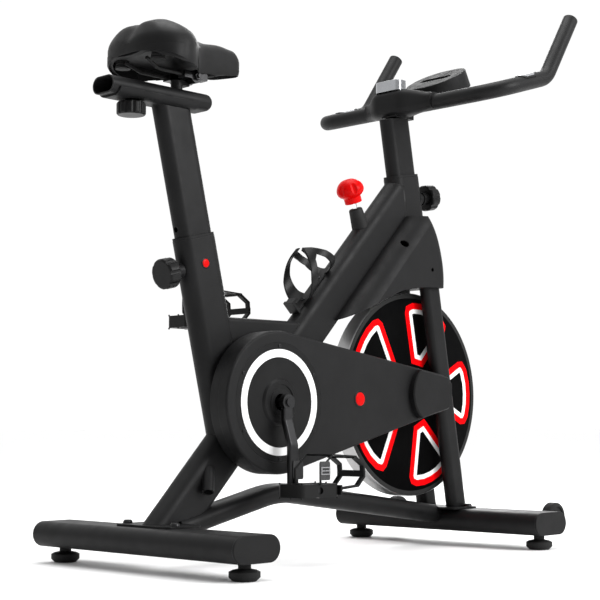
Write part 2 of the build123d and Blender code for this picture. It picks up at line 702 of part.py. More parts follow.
# ---- height adjustment ----------------------------------------------------------------
BUSH_LIP = 5.0
POST_DEPTH = 80.0
POST_WIDTH = 38.0
STEM_DEPTH = 76.0
STEM_WIDTH = 36.0
POST_LENGTH = (-190.0, 262.0)
STEM_LENGTH = (-105.0, 128.0)


def bush(frame, depth, width):
    """Plastic sleeve in a tube's mouth, with a lip that sits on the tube's end."""
    inner_depth = TUBE_DEPTH - 2 * TUBE_WALL - 0.2
    inner_width = TUBE_WIDTH - 2 * TUBE_WALL - 0.2
    sleeve = slot_bar(inner_depth, inner_width, -30, 0)
    sleeve += slot_bar(TUBE_DEPTH - 1, TUBE_WIDTH - 1, 0, BUSH_LIP)
    gap = 2 * SLIDING_GAP
    return frame * (sleeve - slot_bar(depth + gap, width + gap, -60, 20))


def post_bushes():
    seat = bush(SEAT, POST_DEPTH, POST_WIDTH)
    stem = bush(HEAD, STEM_DEPTH, STEM_WIDTH)
    return group([seat, stem])


def pin_holes(frame, knob_at, side, count, pitch):
    """Row of index holes for the pull knob's pin, through one wall of a post."""
    holes = Part()
    for k in range(count):
        holes += knob_hole(frame, knob_at + pitch * (k - count // 2), side)
    return holes


HOLE_PITCH = 25.0


def seat_post():
    """Post with its index holes, and the trough that carries the slider on top."""
    post = SEAT * slot_tube(POST_DEPTH, POST_WIDTH, TUBE_WALL, *POST_LENGTH)
    post -= pin_holes(SEAT, SEAT_KNOB_AT, -1, 7, HOLE_PITCH)
    post -= block(-600, -200, -60, 60, TROUGH_LOW, SLIDER_Z + 60)
    gap = 2 * SLIDING_GAP
    width, height = SLIDER_WIDTH + gap, SLIDER_HEIGHT + gap
    wall = 2 * TROUGH_WALL
    section = SlotOverall(width + wall, height + wall) - SlotOverall(width, height)
    trough = Plane(origin=(-515, 0, SLIDER_Z), x_dir=(0, 1, 0), z_dir=(1, 0, 0)) * extrude(
        section, 184)
    post += trough & block(-600, -200, -60, 60, TROUGH_LOW - 1, SLIDER_Z - 5)
    return post - Pos(SLIDER_KNOB_X, 0, TROUGH_LOW) * Cylinder(KNOB_STUD_R + RUNNING_GAP, 30)


SLIDER_WIDTH = 60.0
SLIDER_HEIGHT = 32.0
TROUGH_WALL = 3.0
TROUGH_LOW = SLIDER_Z - SLIDER_HEIGHT / 2 - SLIDING_GAP - TROUGH_WALL
SLIDER_KNOB_X = -466.0
KNOB_STUD_R = 4.0


def stem_post():
    """Post that slides in the head tube, with the handlebar's bracket welded on top."""
    post = HEAD * slot_tube(STEM_DEPTH, STEM_WIDTH, TUBE_WALL, *STEM_LENGTH)
    post -= pin_holes(HEAD, HEAD_KNOB_AT, 1, 5, HOLE_PITCH)
    bracket = block(239, BAR_X + 14, -20, 20, 914, 930) - HEAD * slot_bar(
        STEM_DEPTH, STEM_WIDTH, *STEM_LENGTH)
    return post + bracket - rod_y(BAR_X, BAR_Z, BAR_R, -40, 40)


def pull_knob(frame, height, side, neck):
    """Lobed knob on its spring pin, drawn pulled out just clear of the post."""
    face = TUBE_DEPTH / 2 + KNOB_BOSS + 0.3
    pin_from = (STEM_DEPTH if side > 0 else POST_DEPTH) / 2 + 0.4
    part = Pos(0, 0, pin_from) * extrude(Circle(KNOB_PIN_R), face - pin_from + 2)
    part += Pos(0, 0, face) * extrude(Circle(15), neck)
    part += Pos(0, 0, face + neck - 0.1) * lobed_disc(28.5, 8, 3.2, 26)
    return frame * Pos(0, 0, height) * Rot(0, 90 * side, 0) * part


def slider_knob():
    """Clamp knob under the slider; its stud runs up through the trough into the slot."""
    head = lobed_disc(26.5, 12, 1.8, 24)
    part = Pos(0, 0, -26.8) * head + Pos(0, 0, -3) * extrude(Circle(12), 2.7)
    part += Pos(0, 0, -1) * extrude(Circle(KNOB_STUD_R), 11)
    return Pos(SLIDER_KNOB_X, 0, TROUGH_LOW) * part


# ---- saddle ---------------------------------------------------------------------------
SADDLE_PIVOT_X = -337.0
SADDLE_PIVOT_Z = 901.0
PIVOT_R = 9.0
CHEEK_IN = 11.8
CHEEK_OUT = 31.0
SADDLE_REAR_X = -478.0
SADDLE_NOSE_X = -208.0
SADDLE_HALF_WIDTH = 99.0


def saddle_slider():
    """Obround slider, open behind and closed in front, with the saddle post and its eye."""
    section = SlotOverall(SLIDER_WIDTH, SLIDER_HEIGHT)
    length = SLIDER_FRONT - SLIDER_REAR
    bar = extrude(section, length)
    bar = fillet(bar.faces().sort_by(Axis.Z)[-1].edges(), 12)
    bar -= Pos(0, 0, -1) * extrude(SlotOverall(55, 27), length - 12)
    bar = Plane(origin=(SLIDER_REAR, 0, SLIDER_Z), x_dir=(0, 1, 0), z_dir=(1, 0, 0)) * bar
    bar -= block(SLIDER_REAR + 20, SLIDER_FRONT - 40, -4.6, 4.6, SLIDER_Z - 20, SLIDER_Z)
    bar += Pos(SADDLE_POST_X, 0, SLIDER_Z + 14) * extrude(Circle(11.1), 21)
    bar += rod_y(SADDLE_PIVOT_X, SADDLE_PIVOT_Z, PIVOT_R, -11, 11)
    bar += block(SADDLE_POST_X, SADDLE_PIVOT_X, -11, 11, 885, 894)
    return bar - rod_y(SADDLE_PIVOT_X, SADDLE_PIVOT_Z, 4 + RUNNING_GAP, -12, 12)


def saddle_clamp():
    """Two serrated cheeks that grip the rails, on a cross bolt with a nut each side."""
    cheek = rod_y(SADDLE_PIVOT_X, SADDLE_PIVOT_Z, 12.5, CHEEK_IN, CHEEK_OUT)
    cheek += block(-366, -310, CHEEK_IN, CHEEK_OUT, 896, 909)
    nut = slab(Pos(SADDLE_PIVOT_X, SADDLE_PIVOT_Z) * RegularPolygon(7.5, 6),
               CHEEK_OUT, CHEEK_OUT + 6)
    side = cheek + nut
    part = side + mirror(side, Plane.XZ)
    part += rod_y(SADDLE_PIVOT_X, SADDLE_PIVOT_Z, 4, -41, 41)
    for rail in saddle_rails():
        part -= rail
    return part


def saddle_rails():
    """Two steel rails: straight through the clamp, up to the shell at both ends."""
    line = [(-456, 30, 916), (-424, 24, 903), (-322, 20, 902), (-276, 10, 917)]
    return [round_bar([(x, side * y, z) for x, y, z in line], 3.5, 14) for side in (-1, 1)]


def saddle_suspension():
    """The two rails, and the rubber springs between them and the shell."""
    parts = saddle_rails()
    for side in (-1, 1):
        spring = extrude(Circle(9), 16)
        for k in range(3):
            spring += Pos(0, 0, 0.5 + 5.4 * k) * extrude(Circle(14 - k), 4)
        parts.append(Pos(-446, side * 50, 909) * spring)
    return group(parts)


def saddle_plan(inset):
    """Top view of the saddle: wide rounded rear and a narrow nose."""
    rear, nose = SADDLE_REAR_X + inset, SADDLE_NOSE_X - inset
    wide = SADDLE_HALF_WIDTH - inset
    half = Spline((rear + 6, 0), (rear + 2, 48), (rear + 30, wide - 4), (rear + 64, wide),
                  (rear + 106, wide - 24), (-334, 42 - inset), (-280, 29 - inset),
                  (nose - 14, 22 - inset), (nose, 0), tangents=[(0, 1), (0, -1)])
    return make_face([half, mirror(half, Plane.XZ)])


SADDLE_SPLIT = [(-520, 931), (-440, 934), (-380, 933), (-330, 929), (-270, 929), (-180, 936)]


def above_split(lift, top):
    """Side-view region above the line between shell and cushion."""
    line = [(x, z + lift) for x, z in SADDLE_SPLIT]
    return make_face(Polyline(*line, (-180, top), (-520, top), close=True))


def saddle_cushion():
    """Plain crowned solid of the padded saddle top."""
    side = Spline((-478, 930), (-474, 966), (-428, 990), (-330, 972), (-266, 976), (-219, 966),
                  (-206, 934))
    side = make_face([side, Line((-206, 934), (-478, 930))])
    front = Spline((99, 925), (92, 962), (52, 990), (0, 982), (-52, 990), (-92, 962), (-99, 925))
    front = make_face([front, Line((-99, 925), (99, 925))])
    body = Pos(0, 0, 880) * extrude(saddle_plan(0), 140)
    body = body & slab(side, -130, 130) & extrude(Plane.YZ.offset(-600) * front, 600)
    return body & slab(above_split(SLIDING_GAP, 1000), -130, 130)


def saddle_shell():
    """Plastic base with a deep skirt, arched open at the rear over the springs."""
    low = Spline((-480, 927), (-440, 913), (-387, 903), (-345, 906), (-280, 917), (-200, 934))
    skirt = make_face([low, Polyline((-200, 934), (-200, 1000), (-480, 1000), (-480, 927))])
    body = Pos(0, 0, 880) * extrude(saddle_plan(3), 100) & slab(skirt, -130, 130)
    body -= slab(above_split(0, 1100), -130, 130)
    roof = slab(above_split(-5, 1100), -130, 130)
    body -= Pos(0, 0, 880) * extrude(saddle_plan(11), 100) - roof
    body -= block(-372, -304, -46, 46, 880, 914) + block(-221, -190, -60, 60, 880, 1000)
    return body.solids().sort_by(SortBy.VOLUME)[-1]


# ---- handlebar and console ------------------------------------------------------------
BAR_X = 285.0
BAR_Z = 940.5
BAR_POINTS = [(BAR_X, 256, BAR_Z), (456, 256, 994), (558, 252, 1140)]
BAR_BEND = 58.0


def handlebar():
    """One bent tube: across the stem, forward past each bend, then up to the tips."""
    right = [(x, -y, z) for x, y, z in BAR_POINTS]
    points = right[::-1] + BAR_POINTS
    bar = round_bar(points, BAR_R, BAR_BEND)
    return bar - round_bar(points, BAR_R - 2.0, BAR_BEND)


SHROUD_HALF = 93.0
SHROUD_WALL = 3.0


def shroud_body(inset):
    """Bulging housing that necks down to the handlebar at both ends."""
    k = inset
    half = SHROUD_HALF - k
    rear = Spline((263 + k, -half), (229 + k, -44), (229 + k, 44), (263 + k, half))
    front = Spline((305 - k, half), (319 - k, 50), (319 - k, -50), (305 - k, -half))
    plan = make_face([rear, Line((263 + k, half), (305 - k, half)), front,
                      Line((305 - k, -half), (263 + k, -half))])
    low = Spline((-half, 925 + k), (-46, 918 + k), (46, 918 + k), (half, 925 + k))
    top = Spline((half, 963 - k), (44, 974 - k), (-44, 974 - k), (-half, 963 - k))
    ends = make_face([low, Line((half, 925 + k), (half, 963 - k)), top,
                      Line((-half, 963 - k), (-half, 925 + k))])
    side = FilletPolyline((229 + k, 914 + k), (272 - k, 914 + k), (319 - k, 946 - k / 2),
                          (319 - k, 980), (229 + k, 980), (229 + k, 914 + k), radius=8, close=False)
    body = Pos(0, 0, 900) * extrude(plan, 90)
    return body & extrude(Plane.YZ * ends, 400) & slab(make_face(side), -130, 130)


def console_shroud():
    """Moulded cover round the stem head and the middle of the handlebar."""
    body = shroud_body(0) - shroud_body(SHROUD_WALL)
    body -= HEAD * slot_bar(STEM_DEPTH + 0.6, STEM_WIDTH + 0.6, 0, 160)
    body -= block(238, BAR_X + 15, -21, 21, 905, 931)
    seat = RectangleRounded(*[size + 2 * SLIDING_GAP for size in MONITOR_SIZE], 9.3)
    body -= MONITOR * Pos(0, 0, -0.2) * extrude(seat, 30)
    return body - rod_y(BAR_X, BAR_Z, BAR_R + 0.3, -130, 130)


MONITOR = Plane(origin=(247, 0, 970), x_dir=(0, 1, 0), z_dir=(0, 0, 1))
MONITOR_SIZE = (68.0, 30.0)
BUTTON_Y = 24.0
BUTTON_R = 5.0
TRAY = Plane(origin=(417.4, 0, 991.8), x_dir=(0, 1, 0), z_dir=(-0.485, 0, 0.875))
TRAY_THICK = 38.0
TRAY_SLOT_DEPTH = 14.0


def monitor():
    """Small display housing on top of the shroud, with a recessed screen."""
    body = extrude(RectangleRounded(*MONITOR_SIZE, 9), 23)
    body = fillet(body.edges().group_by(Axis.Z)[-1], 2)
    body -= Pos(-8, 0, 21.5) * extrude(RectangleRounded(42, 18, 3), 5)
    return MONITOR * (body - Pos(BUTTON_Y, 0, 15) * extrude(Circle(BUTTON_R + SLIDING_GAP), 10))


def monitor_button():
    return MONITOR * Pos(BUTTON_Y, 0, 17) * extrude(Circle(BUTTON_R), 7.5)


def tablet_tray():
    """Round tray ahead of the monitor, with a slot that holds a tablet on edge."""
    tray = extrude(RectangleRounded(140, 122, 58), TRAY_THICK)
    tray = fillet(tray.edges().group_by(Axis.Z)[-1], 2)
    slot = Pos(0, 0, TRAY_THICK - TRAY_SLOT_DEPTH) * extrude(SlotOverall(84, 20), TRAY_THICK)
    arm = block(308, 376, -22, 22, 957, 978)
    return TRAY * (tray - slot) + (arm - shroud_body(0))




def main():
    os.makedirs("parts", exist_ok=True)
    save("main_beam", main_beam())
    save("seat_tube", seat_tube())
    save("cross_tube", cross_tube())
    save("head_tube", head_tube())
    save("fork_legs", fork_legs())
    save("base_rail", base_rail())
    save("bottom_bracket_shell", bottom_bracket_shell())
    save("bearings", bearings())
    save("rear_stabiliser", stabiliser(-1))
    save("front_stabiliser", stabiliser(1))
    save("stabiliser_end_caps", stabiliser_end_caps())
    save("stabiliser_bolts", stabiliser_bolts())
    for end, x in (("rear", -STANCE_X), ("front", STANCE_X)):
        for name, y in (("left", FOOT_Y), ("right", -FOOT_Y)):
            save(f"{end}_{name}_foot", foot(x, y))
    for name, side in (("left", 1), ("right", -1)):
        save(f"{name}_transport_wheel", transport_wheel(side))
        save(f"{name}_pedal", pedal(side))
        save(f"{name}_toe_cage", toe_cage(side))
        save(f"{name}_flywheel_guard", fender_half(side))
    save("wheel_brackets", wheel_brackets())
    save("crank_spindle", crank_spindle())
    save("drive_pulley", pulley(CRANK_X, CRANK_Z, BIG_PULLEY_R, 24, SPINDLE_R, 6, 18))
    save("crank_arms", crank_arms())
    save("flywheel", flywheel())
    save("flywheel_covers", flywheel_covers())
    save("flywheel_pulley", pulley(AXLE_X, AXLE_Z, SMALL_PULLEY_R, 20, AXLE_R + 0.1, 0, 0))
    save("flywheel_axle", flywheel_axle())
    save("drive_belt", drive_belt())
    save("belt_guard_outer", belt_guard_outer())
    save("belt_guard_inner", belt_guard_inner())
    save("crank_cover", crank_cover())
    save("guard_ring", guard_ring())
    save("axle_cover", axle_cover())
    save("panel_screws", panel_screws())
    save("brake_knob", brake_knob())
    save("brake_rod", brake_rod())
    save("brake_pad", brake_pad())
    save("brake_boot", brake_boot())
    save("bottle_cage", bottle_cage())
    save("post_bushes", post_bushes())
    save("seat_post", seat_post())
    save("stem_post", stem_post())
    save("seat_knob", pull_knob(SEAT, SEAT_KNOB_AT, -1, 11))
    save("bar_knob", pull_knob(HEAD, HEAD_KNOB_AT, 1, 14))
    save("slider_knob", slider_knob())
    save("saddle_slider", saddle_slider())
    save("saddle_clamp", saddle_clamp())
    save("saddle_suspension", saddle_suspension())
    save("saddle_cushion", saddle_cushion())
    save("saddle_shell", saddle_shell())
    save("handlebar", handlebar())
    save("console_shroud", console_shroud())
    save("monitor", monitor())
    save("monitor_button", monitor_button())
    save("tablet_tray", tablet_tray())


main()
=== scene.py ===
"""Looks of the indoor spin bike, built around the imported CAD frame. Metres, +X forward, +Z up."""
import math

import bmesh
import bpy
from mathutils import Matrix, Vector
from mathutils.bvhtree import BVHTree


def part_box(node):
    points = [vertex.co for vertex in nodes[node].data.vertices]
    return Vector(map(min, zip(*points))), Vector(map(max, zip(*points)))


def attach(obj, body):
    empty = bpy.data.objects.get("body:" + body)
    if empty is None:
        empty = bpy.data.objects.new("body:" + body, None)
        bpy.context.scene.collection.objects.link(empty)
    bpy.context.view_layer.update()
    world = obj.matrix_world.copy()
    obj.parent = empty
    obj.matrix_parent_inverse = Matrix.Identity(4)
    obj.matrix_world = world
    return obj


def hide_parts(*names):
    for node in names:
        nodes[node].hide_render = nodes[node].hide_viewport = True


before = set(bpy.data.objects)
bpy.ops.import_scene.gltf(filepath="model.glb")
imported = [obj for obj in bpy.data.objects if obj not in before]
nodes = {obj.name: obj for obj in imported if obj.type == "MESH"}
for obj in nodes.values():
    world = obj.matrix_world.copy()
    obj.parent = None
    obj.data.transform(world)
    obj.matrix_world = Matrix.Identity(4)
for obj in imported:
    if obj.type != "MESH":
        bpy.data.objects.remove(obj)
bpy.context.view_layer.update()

MM = 0.001
LAYOUT_X = -20.0            # the frame's X is the layout's less 20 mm


def at(x, y, z):
    """Layout millimetres to frame metres."""
    return Vector(((x + LAYOUT_X) * MM, y * MM, z * MM))


AXLE = at(285.6, 0, 321.6)          # flywheel centre
CRANK = at(-171.3, 0, 299.7)        # crank centre


# ---- materials ------------------------------------------------------------------------
class Nodes:
    """Short-hand for building one node tree."""

    def __init__(self, name):
        self.mat = bpy.data.materials.new(name)
        self.mat.use_nodes = True
        self.tree = self.mat.node_tree
        self.shader = self.tree.nodes["Principled BSDF"]
        coords = self.tree.nodes.new("ShaderNodeTexCoord")
        self.place = coords.outputs["Object"]

    def add(self, kind, inputs=(), **props):
        node = self.tree.nodes.new(kind)
        for key, value in props.items():
            setattr(node, key, value)
        for key, value in dict(inputs).items():
            if isinstance(value, bpy.types.NodeSocket):
                self.tree.links.new(value, node.inputs[key])
            else:
                node.inputs[key].default_value = value
        return node

    def link(self, out, name):
        self.tree.links.new(out, self.shader.inputs[name])

    def noise(self, scale, detail=3.0, stretch=None):
        place = self.place
        if stretch:
            place = self.add("ShaderNodeMapping", {"Vector": place, "Scale": stretch}).outputs[0]
        node = self.add("ShaderNodeTexNoise", {"Vector": place, "Scale": scale, "Detail": detail})
        return node.outputs["Fac"]

    def cells(self, scale):
        node = self.add("ShaderNodeTexVoronoi", {"Vector": self.place, "Scale": scale})
        return node.outputs["Distance"]

    def ramp(self, fac, stops):
        node = self.add("ShaderNodeValToRGB", {"Fac": fac})
        ramp = node.color_ramp
        ramp.elements[0].position, ramp.elements[0].color = stops[0][0], grey(stops[0][1])
        ramp.elements[1].position, ramp.elements[1].color = stops[-1][0], grey(stops[-1][1])
        for at, value in stops[1:-1]:
            ramp.elements.new(at).color = grey(value)
        return node.outputs["Color"]

    def math(self, operation, a, b=0.5):
        return self.add("ShaderNodeMath", {0: a, 1: b}, operation=operation).outputs[0]

    def mix(self, fac, a, b):
        node = self.add("ShaderNodeMix", {"Factor": fac}, data_type="RGBA")
        for k, value in ((6, a), (7, b)):
            if isinstance(value, bpy.types.NodeSocket):
                self.tree.links.new(value, node.inputs[k])
            else:
                node.inputs[k].default_value = grey(value)
        return node.outputs[2]

    def bump(self, layers, edge=0.0):
        """Chain bump layers (height, strength, distance); edge rounds corners by that radius."""
        normal = None
        if edge:
            normal = self.add("ShaderNodeBevel", {"Radius": edge}, samples=4).outputs[0]
        for height, strength, distance in layers:
            inputs = {"Height": height, "Strength": strength, "Distance": distance}
            if normal is not None:
                inputs["Normal"] = normal
            normal = self.add("ShaderNodeBump", inputs).outputs[0]
        self.link(normal, "Normal")


def grey(value):
    if isinstance(value, (int, float)):
        return (value, value, value, 1.0)
    return (*value, 1.0) if len(value) == 3 else tuple(value)


def edge_wear(n, radius):
    """1 on sharp convex edges, broken up by noise; 0 elsewhere."""
    geometry = n.add("ShaderNodeNewGeometry")
    soft = n.add("ShaderNodeBevel", {"Radius": radius}, samples=4).outputs[0]
    dot = n.add("ShaderNodeVectorMath", {0: soft, 1: geometry.outputs["Normal"]},
                operation="DOT_PRODUCT").outputs["Value"]
    turned = n.math("SUBTRACT", 1.0, dot)
    broken = n.math("MULTIPLY", turned, n.ramp(n.noise(60.0, 4.0), [(0.45, 0.0), (0.62, 1.0)]))
    return n.ramp(broken, [(0.02, 0.0), (0.12, 1.0)])


def finish(name, colour, rough, grain=900.0, grain_depth=0.15, spread=0.3, spec=0.4,
           wear=None, metallic=0.0, coat=0.0, edge=1.2 * MM):
    """General opaque finish: mottled colour, uneven gloss, fine grain, softened edges."""
    n = Nodes(name)
    low = tuple(c * (1 - spread) for c in colour)
    high = tuple(min(1.0, c * (1 + spread)) for c in colour)
    patches = n.ramp(n.noise(14.0, 5.0), [(0.35, 0.0), (0.65, 1.0)])
    base = n.mix(patches, low, high)
    if wear:
        base = n.mix(edge_wear(n, 1.5 * MM), base, wear)
    n.link(base, "Base Color")
    smear = n.ramp(n.noise(38.0, 6.0), [(0.3, rough * 0.88), (0.7, min(1.0, rough * 1.12))])
    n.link(smear, "Roughness")
    n.shader.inputs["Specular IOR Level"].default_value = spec
    n.shader.inputs["Metallic"].default_value = metallic
    n.shader.inputs["Coat Weight"].default_value = coat
    n.bump([(n.noise(grain, 2.0), grain_depth, 0.2 * MM)], edge)
    return n.mat


def leather(name, colour):
    """Synthetic leather: fine pebble cells, creases and a soft sheen."""
    n = Nodes(name)
    patches = n.ramp(n.noise(22.0, 6.0), [(0.3, 0.0), (0.7, 1.0)])
    n.link(n.mix(patches, tuple(c * 0.8 for c in colour), tuple(c * 1.25 for c in colour)),
           "Base Color")
    pebble = n.ramp(n.cells(950.0), [(0.05, 0.0), (0.5, 1.0)])
    n.link(n.ramp(n.noise(60.0, 5.0), [(0.3, 0.44), (0.7, 0.56)]), "Roughness")
    n.shader.inputs["Specular IOR Level"].default_value = 0.14
    n.shader.inputs["Sheen Weight"].default_value = 0.02
    n.bump([(n.noise(30.0, 3.0, (1.0, 0.35, 1.0)), 0.25, 0.6 * MM),
            (pebble, 0.35, 0.15 * MM)])
    return n.mat


def metal(name, colour, rough, brushed=None, spread=0.12):
    """Bare or plated metal; brushed gives the stretch of the grinding marks."""
    n = Nodes(name)
    marks = n.noise(700.0, 3.0, brushed or (1.0, 1.0, 1.0))
    stain = n.ramp(n.noise(20.0, 5.0), [(0.3, 0.0), (0.7, 1.0)])
    n.link(n.mix(stain, tuple(c * (1 - spread) for c in colour), colour), "Base Color")
    n.link(n.ramp(marks, [(0.3, rough * 0.75), (0.7, rough * 1.3)]), "Roughness")
    n.shader.inputs["Metallic"].default_value = 1.0
    n.bump([(marks, 0.08 if brushed else 0.03, 0.1 * MM)], 0.8 * MM)
    return n.mat


TREAD_RADIUS = 213.4 * MM           # outside this the flywheel's iron is bare


def turned_iron(name, centre):
    """Flywheel: black painted sides, turned bright tread and chamfers."""
    n = Nodes(name)
    split = n.add("ShaderNodeSeparateXYZ", {"Vector": n.place}).outputs
    dx = n.math("SUBTRACT", split[0], centre[0])
    dz = n.math("SUBTRACT", split[2], centre[2])
    square = n.math("ADD", n.math("MULTIPLY", dx, dx), n.math("MULTIPLY", dz, dz))
    radius = n.math("SQRT", square, 0.0)
    bare = n.math("GREATER_THAN", radius, TREAD_RADIUS)
    rings = n.add("ShaderNodeTexWave", {"Vector": n.add("ShaderNodeCombineXYZ", {
        "X": radius, "Y": split[1]}).outputs[0], "Scale": 300.0, "Distortion": 1.0,
        "Detail": 2.0}).outputs["Fac"]
    paint = n.mix(n.noise(20.0, 4.0), 0.010, 0.018)
    steel = n.mix(n.noise(12.0, 4.0), 0.40, 0.52)
    n.link(n.mix(bare, paint, steel), "Base Color")
    n.link(n.mix(bare, 0.0, 0.9), "Metallic")
    n.link(n.mix(bare, n.ramp(n.noise(40.0), [(0.3, 0.42), (0.7, 0.5)]),
                 n.ramp(rings, [(0.2, 0.30), (0.8, 0.38)])), "Roughness")
    n.shader.inputs["Specular IOR Level"].default_value = 0.15
    n.bump([(rings, 0.02, 0.02 * MM)])
    return n.mat


def woven(name, colour, scale=700.0):
    """Webbing or felt: crossed threads."""
    n = Nodes(name)
    warp = n.add("ShaderNodeTexWave", {"Vector": n.place, "Scale": scale, "Distortion": 0.6},
                 bands_direction="Y").outputs["Fac"]
    weft = n.add("ShaderNodeTexWave", {"Vector": n.place, "Scale": scale, "Distortion": 0.6},
                 bands_direction="X").outputs["Fac"]
    threads = n.math("MULTIPLY", warp, weft)
    n.link(n.mix(n.noise(90.0, 5.0), tuple(c * 0.7 for c in colour),
                 tuple(c * 1.4 for c in colour)), "Base Color")
    n.link(n.ramp(n.noise(200.0), [(0.3, 0.8), (0.7, 0.95)]), "Roughness")
    n.shader.inputs["Sheen Weight"].default_value = 0.2
    n.bump([(threads, 0.5, 0.3 * MM)])
    return n.mat


PAINT = finish("powder_coat", (0.0066, 0.0066, 0.0069), 0.47, 1400.0, 0.22, 0.18, 0.13,
               wear=0.04)
PLASTIC = finish("moulded_plastic", (0.0068, 0.0068, 0.0071), 0.50, 1900.0, 0.30, 0.15, 0.13)
TRAY = finish("tray_grain", (0.0088, 0.0088, 0.0092), 0.52, 620.0, 0.9, 0.2, 0.13)
FINE_PLASTIC = finish("soft_plastic", (0.0048, 0.0048, 0.0050), 0.38, 1900.0, 0.15, 0.15, 0.14)
RUBBER = finish("black_rubber", (0.009, 0.009, 0.009), 0.66, 700.0, 0.35, 0.25, 0.22)
GRIP = finish("bar_coating", (0.0070, 0.0070, 0.0073), 0.46, 1200.0, 0.30, 0.15, 0.16,
              edge=0.6 * MM)
RED = finish("red_plastic", (0.52, 0.001, 0.001), 0.32, 500.0, 0.08, 0.10, 0.07)
RED_PRINT = finish("red_print", (0.90, 0.001, 0.003), 0.50, 900.0, 0.05, 0.04, 0.02, edge=0.0)
WHITE_PRINT = finish("white_print", (0.88, 0.88, 0.88), 0.45, 900.0, 0.05, 0.03, 0.2, edge=0.0)
WHITE = finish("white_ring", (0.86, 0.86, 0.86), 0.36, 900.0, 0.08, 0.03, 0.4)
DISC = finish("printed_disc", (0.0012, 0.0012, 0.0013), 0.60, 900.0, 0.06, 0.2, 0.02, edge=0.0)
DARK = finish("dark_hub", (0.020, 0.020, 0.021), 0.40, 1500.0, 0.15, 0.1, 0.35)
SILVER = metal("silver_lacquer", (0.50, 0.51, 0.53), 0.20)
CHROME = metal("chrome_plate", (0.80, 0.80, 0.82), 0.07)
STEEL = metal("bare_steel", (0.34, 0.34, 0.35), 0.30, (1.0, 6.0, 1.0))
BLACK_OXIDE = metal("black_oxide", (0.035, 0.035, 0.036), 0.38)
LEATHER = leather("saddle_leather", (0.0050, 0.0050, 0.0052))
THREAD = woven("seam_thread", (0.02, 0.02, 0.021), 1500.0)
WEBBING = woven("strap_webbing", (0.014, 0.014, 0.015), 900.0)
FELT = woven("wool_felt", (0.13, 0.12, 0.10), 500.0)
IRON = turned_iron("flywheel_rim", AXLE)

LOOKS = {
    PAINT: "main_beam seat_tube cross_tube head_tube fork_legs base_rail rear_stabiliser "
           "front_stabiliser wheel_brackets bottom_bracket_shell seat_post stem_post "
           "saddle_slider",
    PLASTIC: "belt_guard_outer belt_guard_inner left_flywheel_guard right_flywheel_guard "
             "axle_cover stabiliser_end_caps post_bushes console_shroud saddle_shell",
    TRAY: "tablet_tray",
    FINE_PLASTIC: "bottle_cage seat_knob bar_knob slider_knob left_pedal right_pedal "
                  "left_toe_cage right_toe_cage crank_cover",
    RUBBER: "rear_left_foot rear_right_foot front_left_foot front_right_foot "
            "left_transport_wheel right_transport_wheel drive_belt brake_boot "
            "monitor_button saddle_suspension",
    GRIP: "handlebar",
    RED: "brake_knob",
    WHITE: "guard_ring",
    DISC: "flywheel_covers",
    SILVER: "monitor",
    CHROME: "brake_rod",
    STEEL: "bearings drive_pulley flywheel_pulley flywheel_axle",
    BLACK_OXIDE: "crank_arms crank_spindle stabiliser_bolts panel_screws saddle_clamp",
    LEATHER: "saddle_cushion",
    FELT: "brake_pad",
    IRON: "flywheel",
}
for material, names in LOOKS.items():
    for name in names.split():
        mesh = nodes[name].data
        mesh.materials.clear()
        mesh.materials.append(material)


# ---- mesh helpers ---------------------------------------------------------------------
def put(name, bm, material, body, smooth=True, angle=40.0):
    """Turn a bmesh into an object that rides on a CAD body."""
    bmesh.ops.remove_doubles(bm, verts=bm.verts, dist=1e-6)
    bmesh.ops.recalc_face_normals(bm, faces=bm.faces)
    mesh = bpy.data.meshes.new(name)
    for face in bm.faces:
        face.smooth = smooth
    bm.to_mesh(mesh)
    bm.free()
    if smooth:
        mesh.set_sharp_from_angle(angle=math.radians(angle))
    mesh.materials.append(material)
    obj = bpy.data.objects.new(name, mesh)
    bpy.context.scene.collection.objects.link(obj)
    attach(obj, body)
    return obj


def loft(bm, rings, caps=True):
    """Skin a list of equal-length closed point rings."""
    rows = [[bm.verts.new(p) for p in ring] for ring in rings]
    count = len(rings[0])
    for a, b in zip(rows, rows[1:]):
        for i in range(count):
            j = (i + 1) % count
            bm.faces.new((a[i], a[j], b[j], b[i]))
    if caps:
        bm.faces.new(rows[0][::-1])
        bm.faces.new(rows[-1])
    return rows


def tube(bm, path, radius, sides):
    """Round tube along a list of points, with a steady frame along it."""
    points = [Vector(p) for p in path]
    rings, side = [], None
    for i, p in enumerate(points):
        ahead = points[i + 1] if i + 1 < len(points) else p
        behind = points[i - 1] if i else p
        along = (ahead - behind).normalized()
        if side is None:
            side = along.orthogonal().normalized()
        side = (side - along * side.dot(along)).normalized()
        up = along.cross(side)
        ring = [p + (side * math.cos(t) + up * math.sin(t)) * radius
                for t in (2 * math.pi * k / sides for k in range(sides))]
        rings.append(ring)
    loft(bm, rings)


def frame_at(origin, out, up=(0, 0, 1)):
    """Matrix whose local z points along out and whose local y is nearest to up."""
    z = Vector(out).normalized()
    x = Vector(up).cross(z).normalized()
    y = z.cross(x)
    m = Matrix((x, y, z)).transposed().to_4x4()
    m.translation = Vector(origin)
    return m


def plate(bm, outline, low, high, matrix, bevel=0.0):
    """Solid plate from a 2-D outline in the matrix's plane, with a bevelled top edge."""
    def ring(points, height):
        return [matrix @ Vector((u, v, height)) for u, v in points]
    rings = [ring(outline, low), ring(outline, high - bevel)]
    if bevel:
        rings.append(ring(inset(outline, bevel), high))
    loft(bm, rings)


def inset(outline, distance):
    """Offset a closed outline inwards; it runs anticlockwise."""
    out = []
    count = len(outline)
    for i in range(count):
        a, b, c = (Vector(outline[k % count]) for k in (i - 1, i, i + 1))
        e, f = (b - a).normalized(), (c - b).normalized()
        n, m = Vector((-e.y, e.x)), Vector((-f.y, f.x))
        both = n + m
        out.append(tuple(b + both * (distance / max(0.35, 1 + n.dot(m)))))
    return out


